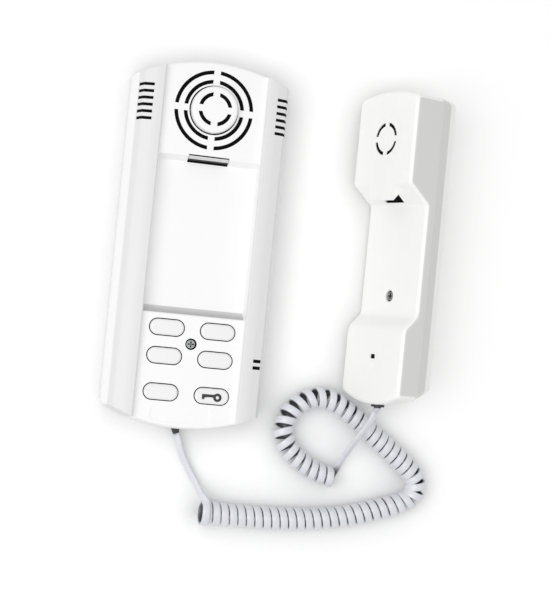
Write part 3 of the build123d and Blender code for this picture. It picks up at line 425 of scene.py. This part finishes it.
# Painted shade: the screws' slots are painted dark where little of the surroundings reaches into them
slotPaintedShade = {"depth": 1.4 * mm, "hidden": (0.45, 0.85), "colour": "#141414", "samples": 8}


def paintSlotShade(tree, colour, place):
    hidden = addNode(tree, "ShaderNodeAmbientOcclusion", {"samples": slotPaintedShade["samples"]},
                     {"Distance": slotPaintedShade["depth"]})
    return fadeTone(tree, hidden.outputs["AO"], slotPaintedShade["hidden"], slotPaintedShade["colour"], colour)


# The handset's gland is black only where it leaves the shell, and has the cord's own sleeve beyond
sleeveTone = {"end": -86.4 * mm, "fade": 0.4 * mm, "colour": "#C9CCD1"}


def paleSleeve(tree, colour, place):
    length = addNode(tree, "ShaderNodeSeparateXYZ", None, {"Vector": place}).outputs["Y"]
    ends = (sleeveTone["end"], sleeveTone["end"] + sleeveTone["fade"])
    return fadeTone(tree, length, ends, sleeveTone["colour"], colour)


# Painted shade: the inner side of the curls is painted dark for their own shade, and their edges are painted
# greyer for the shade between neighbouring curls
cordPaintedShade = {
    "inside": (-0.7, -0.15),
    "insideShadeColour": "#54565A",
    "edge": (0.5, 1.0),
    "edgeShadeColour": "#9DA0A6",
}


def cordShade(tree, colour, place):
    outside = addNode(tree, "ShaderNodeAttribute", {"attribute_name": "outside"}).outputs["Fac"]
    edge = addNode(tree, "ShaderNodeAttribute", {"attribute_name": "edge"}).outputs["Fac"]
    colour = fadeTone(tree, edge, cordPaintedShade["edge"], colour, cordPaintedShade["edgeShadeColour"])
    return fadeTone(tree, outside, cordPaintedShade["inside"], cordPaintedShade["insideShadeColour"], colour)


# ABS from a finely sparked mould: bright white with a broad, soft sheen; its rails, the slope at the
# recess's lower end and the walls of the key openings carry painted shade
caseAbs = surface("ABS moulded white base", ("#F9F9F9", "#F7F7F7"), (0.44, 0.48), 4 * mm, None,
                  {"IOR": 1.5}, tint=paintCaseShade)
# ABS from a smoother mould, a trace warmer: the highlights are tighter; the flanks of both shells carry
# painted shade
handsetGloss = {"IOR": 1.54, "Coat Weight": 0.25, "Coat Roughness": 0.28}
handsetAbs = surface("ABS moulded white handset", ("#FAFAF8", "#F8F8F6"), (0.3, 0.32), 4 * mm, None,
                     handsetGloss, tint=frontFlankShade)
handsetBackAbs = surface("ABS moulded white handset back", ("#FAFAF8", "#F8F8F6"), (0.3, 0.32), 4 * mm,
                         None, handsetGloss, tint=backFlankShade)
# satin ABS, a little greyer than the case, so that the caps stand out from the panel; their sides below the
# panel's face carry painted black shade
buttonAbs = surface("ABS moulded pale grey caps", ("#F1F1F1", "#EEEEEE"), (0.36, 0.4), 2 * mm, None,
                    {"IOR": 1.54}, tint=capFootShade)
# acetal: slippery and slightly waxy; its light grey is painted shade on white plastic inside the slot
hookAbs = surface("Acetal moulded hook", ("#DEDEDE", "#DADADA"), (0.35, 0.45), 0.8 * mm, (0.03, 0.04 * mm),
                  {"IOR": 1.48}, tint=hookShadeBelow)
# plasticised PVC jacket: waxy, cool grey-white, with a soft highlight on each curl; the curls' inner sides
# and edges carry painted shade
cordPvc = surface("PVC cord jacket", ("#E2E4E9", "#D6D9DF"), (0.3, 0.38), 0.9 * mm, (0.05, 0.06 * mm),
                  {"IOR": 1.53, "Coat Weight": 0.5, "Coat Roughness": 0.28}, patch=6 * mm, tint=cordShade)
# moulded rubber: near black, dull, with a dusty grain
rubber = surface("Rubber black moulded", ("#232325", "#2E2E30"), (0.5, 0.65), 0.5 * mm, (0.1, 0.05 * mm),
                 {"IOR": 1.52})
glandRubber = surface("Rubber black gland with a PVC sleeve", ("#1A1A1C", "#232325"), (0.4, 0.55), 0.5 * mm,
                      (0.1, 0.05 * mm), {"IOR": 1.52}, tint=paleSleeve)
# black ABS of small housings: matt, they hardly show
darkPlastic = surface("ABS black inside", ("#101011", "#161617"), (0.5, 0.6), 0.6 * mm, (0.05, 0.05 * mm),
                      {"IOR": 1.52})
# open-cell foam: no gloss, it swallows the light behind the slots
foam = surface("Polyurethane foam black", ("#0C0C0D", "#171718"), (0.85, 0.95), 0.4 * mm, (0.6, 0.2 * mm))
# painted shade: black sheets with no gloss that stand in for the shade behind the slots, holes and gaps
shadeSheet = surface("Black sheet for painted shade", ("#060607", "#0D0D0E"), (0.9, 0.98), 0.3 * mm, (0.5, 0.1 * mm),
               {"Specular IOR Level": 0.1})
# pressed paper pulp: black and quite matt
paper = surface("Paper cone black", ("#0B0B0C", "#131314"), (0.8, 0.95), 0.3 * mm, (0.3, 0.1 * mm))
# pad-printed ink: flat near-black with a faint satin
keyPrint = surface("Ink pad-printed key mark", ("#1C1D20", "#222326"), (0.45, 0.55), 0.5 * mm,
                   (0.02, 0.02 * mm))
# zinc-plated steel: grey, spotted, with painted shade in the slots
steel = surface("Steel zinc-plated screws", ("#A5A6A7", "#7E7F80"), (0.25, 0.4), 0.4 * mm,
                (0.1, 0.03 * mm), {"Metallic": 1.0}, patch=1.2 * mm, tint=paintSlotShade)
# galvanised sheet: paler, with crystal patches of a few millimetres
sheetSteel = surface("Steel galvanised sheet", ("#B4B7B9", "#A2A6A9"), (0.3, 0.5), 2 * mm, (0.05, 0.03 * mm),
                     {"Metallic": 1.0}, patch=6 * mm)
# inner parts, hidden unless the case is open: solder mask, polyamide, heat-shrunk PET and fired ferrite
board = surface("Glass epoxy board green", ("#1E5A34", "#245F39"), (0.35, 0.45), 1 * mm, (0.03, 0.03 * mm))
terminal = surface("Polyamide green terminal", ("#2F8F4E", "#2A8648"), (0.4, 0.5), 1 * mm,
                   (0.03, 0.03 * mm))
sleeve = surface("PET sleeve dark blue", ("#1C2A55", "#20305E"), (0.25, 0.35), 1 * mm, (0.03, 0.03 * mm))
ferrite = surface("Ferrite sintered grey", ("#2B2C2E", "#363739"), (0.6, 0.75), 0.5 * mm,
                  (0.1, 0.05 * mm))

finishes = {
    caseAbs: ["rear_case", "front_case"],
    handsetAbs: ["handset_front_shell"],
    handsetBackAbs: ["handset_back_shell"],
    buttonAbs: ["call_button_1", "call_button_2", "call_button_3", "call_button_4", "call_button_5",
                "door_button"],
    hookAbs: ["hook_lever"],
    cordPvc: ["base_lead", "curly_cord", "handset_lead"],
    rubber: ["base_cord_gland", "microphone_boot"],
    glandRubber: ["handset_cord_gland"],
    darkPlastic: ["amplifier_chip", "hook_switch", "key_switches", "receiver_capsule"],
    foam: ["speaker_gasket", "receiver_gasket"],
    paper: ["speaker_cone"],
    keyPrint: ["key_symbol"],
    steel: ["case_screw", "board_screws", "terminal_screws", "handset_screw", "weight_screws",
            "hook_pivot_pin", "hook_spring"],
    sheetSteel: ["wall_bracket", "speaker_frame", "microphone_capsule", "balance_weight"],
    board: ["main_board"],
    terminal: ["terminal_block"],
    sleeve: ["capacitors"],
    ferrite: ["speaker_magnet", "line_transformer"],
}
for material, names in finishes.items():
    for name in names:
        nodes[name].data.materials.clear()
        nodes[name].data.materials.append(material)
cordPiece.data.materials.append(cordPvc)
print("materials set")


# Painted shade: black sheets put behind the slots, holes and gaps to stand in for their shade, in mm
def onBase(points):
    return points * mm


def onHandset(points):
    # across, along and out of the face of the handset, to the common frame
    middle, across, outward = handsetFrame(handsetPlace)
    lengthwise = np.array([0, 1.0, 0])
    return (middle + points @ np.array([across, lengthwise, outward])) * mm


def shadeSheetPiece(name, points, faces, body):
    piece = meshObject(name, points, faces, smooth=False)
    piece.data.materials.append(shadeSheet)
    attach(piece, body)


def stadium(length, width, count=48):
    # a slot's outline: half circles at both ends of two straight sides
    angle = np.linspace(0, 2 * math.pi, count, endpoint=False)
    reach = (length - width) / 2
    return np.c_[np.cos(angle) * width / 2 + np.sign(np.cos(angle)) * reach, np.sin(angle) * width / 2]


def circle(radius, count=96):
    return stadium(2 * radius, 2 * radius, count)


def shadeSheetRing(name, centre, inner, outer, low, high, body="base", place=onBase):
    # a closed ring: four loops, inner and outer at both heights, each joined to the next
    loops = [(inner, low), (outer, low), (outer, high), (inner, high)]
    rows = [np.c_[loop + np.array(centre), np.full(len(loop), height)] for loop, height in loops]
    shadeSheetPiece(name, place(np.vstack(rows)), tubeFaces(4, len(inner), closed=True), body)


def shadeSheetPlate(name, outline, start, end, direction, body="base", place=onBase):
    # an outline in the two other directions, drawn out from start to end
    outline = np.asarray(outline, float)
    rows = [np.insert(outline, direction, value, axis=1) for value in (start, end)]
    shadeSheetPiece(name, place(np.vstack(rows)), tubeFaces(2, len(outline)), body)


shadeSheetPlan = {
    "grilleCentre": (0, 80.2),
    "ringRadii": [8.9, 16.91, 22.5],
    "ringTops": [29.3, 24.1, 24.1],
    "slotWidth": 2.3,
    "domeGroove": (13.85, 14.65, 23.62, 23.95),  # inner and outer radius, low and high
    "thickness": 0.8,
    # section behind the vents, half a millimetre inside the rail's outer face
    "ventSection": [(44.75, 19.65), (42.35, 26.2), (36.2, 28.5), (36.2, 27.6), (41.9, 25.5), (44.05, 19.65)],
    "ventRuns": [(-1, 68.6, 92.6), (1, 68.6, 92.6), (1, -71, -63.4)],  # side, from and to along the rail
    "hookSlot": (-12.15, 12.15, 48.55, 50.2, 17.6, 18.2),              # from and to in x, y and z
    "caseScrew": ((0, -58.7), 3.02, 3.38, 22.45, 23.3),                # centre, radii, low and high
    "buttonSpread": 15.16,
    "buttonRows": (-50.1, -66.8, -88.15),
    "buttonOpening": (21.41, 10.4),
    "buttonGap": 0.6,
    "buttonFit": 0.02,  # keeps the shade sheets' faces off the case's and the caps' own
    "buttonShadeSheet": (23.2, 23.9),
}


def addBaseShadeSheets(plan):
    half = plan["slotWidth"] / 2
    for index, (radius, top) in enumerate(zip(plan["ringRadii"], plan["ringTops"])):
        shadeSheetRing(f"grilleShadeSheet{index + 1}", plan["grilleCentre"], circle(radius - half),
                 circle(radius + half), top - plan["thickness"], top)
    inner, outer, low, high = plan["domeGroove"]
    shadeSheetRing("domeGrooveShadeSheet", plan["grilleCentre"], circle(inner), circle(outer), low, high)
    for index, (side, low, high) in enumerate(plan["ventRuns"]):
        section = np.array(plan["ventSection"]) * (side, 1)
        shadeSheetPlate(f"ventShadeSheet{index + 1}", section[::-side], low, high, 1)
    x0, x1, y0, y1, low, high = plan["hookSlot"]
    shadeSheetPlate("hookSlotShadeSheet", [(x0, y0), (x1, y0), (x1, y1), (x0, y1)], low, high, 2)
    centre, inner, outer, low, high = plan["caseScrew"]
    shadeSheetRing("caseScrewShadeSheet", centre, circle(inner), circle(outer), low, high)
    length, width = plan["buttonOpening"]
    inset = 2 * plan["buttonGap"] - plan["buttonFit"]
    outset = plan["buttonFit"]
    for row, y in enumerate(plan["buttonRows"]):
        for column, side in enumerate((-1, 1)):
            shadeSheetRing(f"buttonShadeSheet{2 * row + column + 1}", (side * plan["buttonSpread"], y),
                     stadium(length - inset, width - inset), stadium(length - outset, width - outset),
                     *plan["buttonShadeSheet"])


addBaseShadeSheets(shadeSheetPlan)

# In the handset's own frame: across, along and out of its face
handsetShadeSheets = {
    "earRing": ((0, 65.1), 7.85, 9.95, 34.8, 35.5),     # centre, radii, low and high
    "screw": ((0, -28.2), 3.02, 3.43, 19.75, 20.6),
    "microphoneHole": (2.1, 1.45, -65.3, 29.3, 29.95),  # half sides, place along, low and high
    "hookHole": [(28.15, 22.9), (37.85, 35.1), (37.85, 34.2), (28.15, 22.0)],
    "hookHoleHalf": 8.48,
}


def addHandsetShadeSheets(plan):
    for key, name in (("earRing", "earShadeSheet"), ("screw", "handsetScrewShadeSheet")):
        centre, inner, outer, low, high = plan[key]
        shadeSheetRing(name, centre, circle(inner), circle(outer), low, high, "handset", onHandset)
    halfX, halfY, y, low, high = plan["microphoneHole"]
    outline = [(-halfX, y - halfY), (halfX, y - halfY), (halfX, y + halfY), (-halfX, y + halfY)]
    shadeSheetPlate("microphoneShadeSheet", outline, low, high, 2, "handset", onHandset)
    half = plan["hookHoleHalf"]
    shadeSheetPlate("hookHoleShadeSheet", plan["hookHole"], -half, half, 0, "handset", onHandset)


addHandsetShadeSheets(handsetShadeSheets)
print("felt behind the slots set")

# Floor and light
lightPlan = {
    "floorColour": "#F4F4F4",
    "floorReach": 6,
    "floorDrop": 0.0002,
    "floorGlow": 0.15,
    "haloColour": "#CACACA",    # the floor close beside the pieces, in soft contact shade
    "haloReach": 0.022,
    "haloHidden": (0.4, 1.0),
    "haloSamples": 8,
    "worldStrength": 0.655,
    "lamps": [                  # name, place, size in metres and power in watts
        ("keyLeft", (-0.75, -0.15, 1.3), 1.3, 9.0),
        ("top", (0, -0.15, 1.7), 1.0, 1.7),
    ],
    "aim": (0.06, -0.02, 0.0),
}


def seesBackground(tree):
    # 1 for rays from the camera and for those off metal or through glass, so that they show it too
    ray = addNode(tree, "ShaderNodeLightPath").outputs
    share = ray["Is Camera Ray"]
    for kind in ("Is Glossy Ray", "Is Transmission Ray"):
        either = addNode(tree, "ShaderNodeMath", {"operation": "MAXIMUM"}, {0: share, 1: ray[kind]})
        share = either.outputs[0]
    return share


def addFloor(plan):
    reach, low = plan["floorReach"], -plan["floorDrop"]
    corners = [(-reach, -reach, low), (reach, -reach, low), (reach, reach, low), (-reach, reach, low)]
    floor = meshObject("floor", corners, [(0, 1, 2, 3)], smooth=False)
    material, tree = newTree("Paper sweep white")
    matt = addNode(tree, "ShaderNodeBsdfDiffuse", None, {"Color": plan["floorColour"]})
    hidden = addNode(tree, "ShaderNodeAmbientOcclusion", {"samples": plan["haloSamples"]},
                     {"Distance": plan["haloReach"]})
    tone = fadeTone(tree, hidden.outputs["AO"], plan["haloHidden"], plan["haloColour"], plan["floorColour"])
    shaded = addNode(tree, "ShaderNodeBsdfDiffuse", None, {"Color": tone})
    glow = addNode(tree, "ShaderNodeEmission", None, {"Strength": plan["floorGlow"]})
    both = addNode(tree, "ShaderNodeAddShader", None, {0: shaded.outputs[0], 1: glow.outputs[0]})
    seen = addNode(tree, "ShaderNodeMixShader", None,
                   {0: seesBackground(tree), 1: matt.outputs[0], 2: both.outputs[0]})
    addNode(tree, "ShaderNodeOutputMaterial", None, {"Surface": seen.outputs[0]})
    floor.data.materials.append(material)


def addWorld(plan):
    world = bpy.data.worlds.new("studio")
    bpy.context.scene.world = world
    world.use_nodes = True
    tree = world.node_tree
    tree.nodes.clear()
    soft, white = (addNode(tree, "ShaderNodeBackground", None, {"Color": "#FFFFFF", "Strength": strength})
                   for strength in (plan["worldStrength"], 1.0))
    seen = addNode(tree, "ShaderNodeMixShader", None,
                   {0: seesBackground(tree), 1: soft.outputs[0], 2: white.outputs[0]})
    addNode(tree, "ShaderNodeOutputWorld", None, {"Surface": seen.outputs[0]})


def addLamps(plan):
    for name, place, size, power in plan["lamps"]:
        lamp = bpy.data.lights.new(name, "AREA")
        lamp.shape = "DISK"
        lamp.size = size
        lamp.energy = power
        holder = bpy.data.objects.new(name, lamp)
        holder.location = place
        toAim = Vector(plan["aim"]) - Vector(place)
        holder.rotation_euler = toAim.to_track_quat("-Z", "Y").to_euler()
        collection.objects.link(holder)


addFloor(lightPlan)
addWorld(lightPlan)
addLamps(lightPlan)
bpy.context.scene.view_settings.view_transform = "Standard"
print("floor and light set")
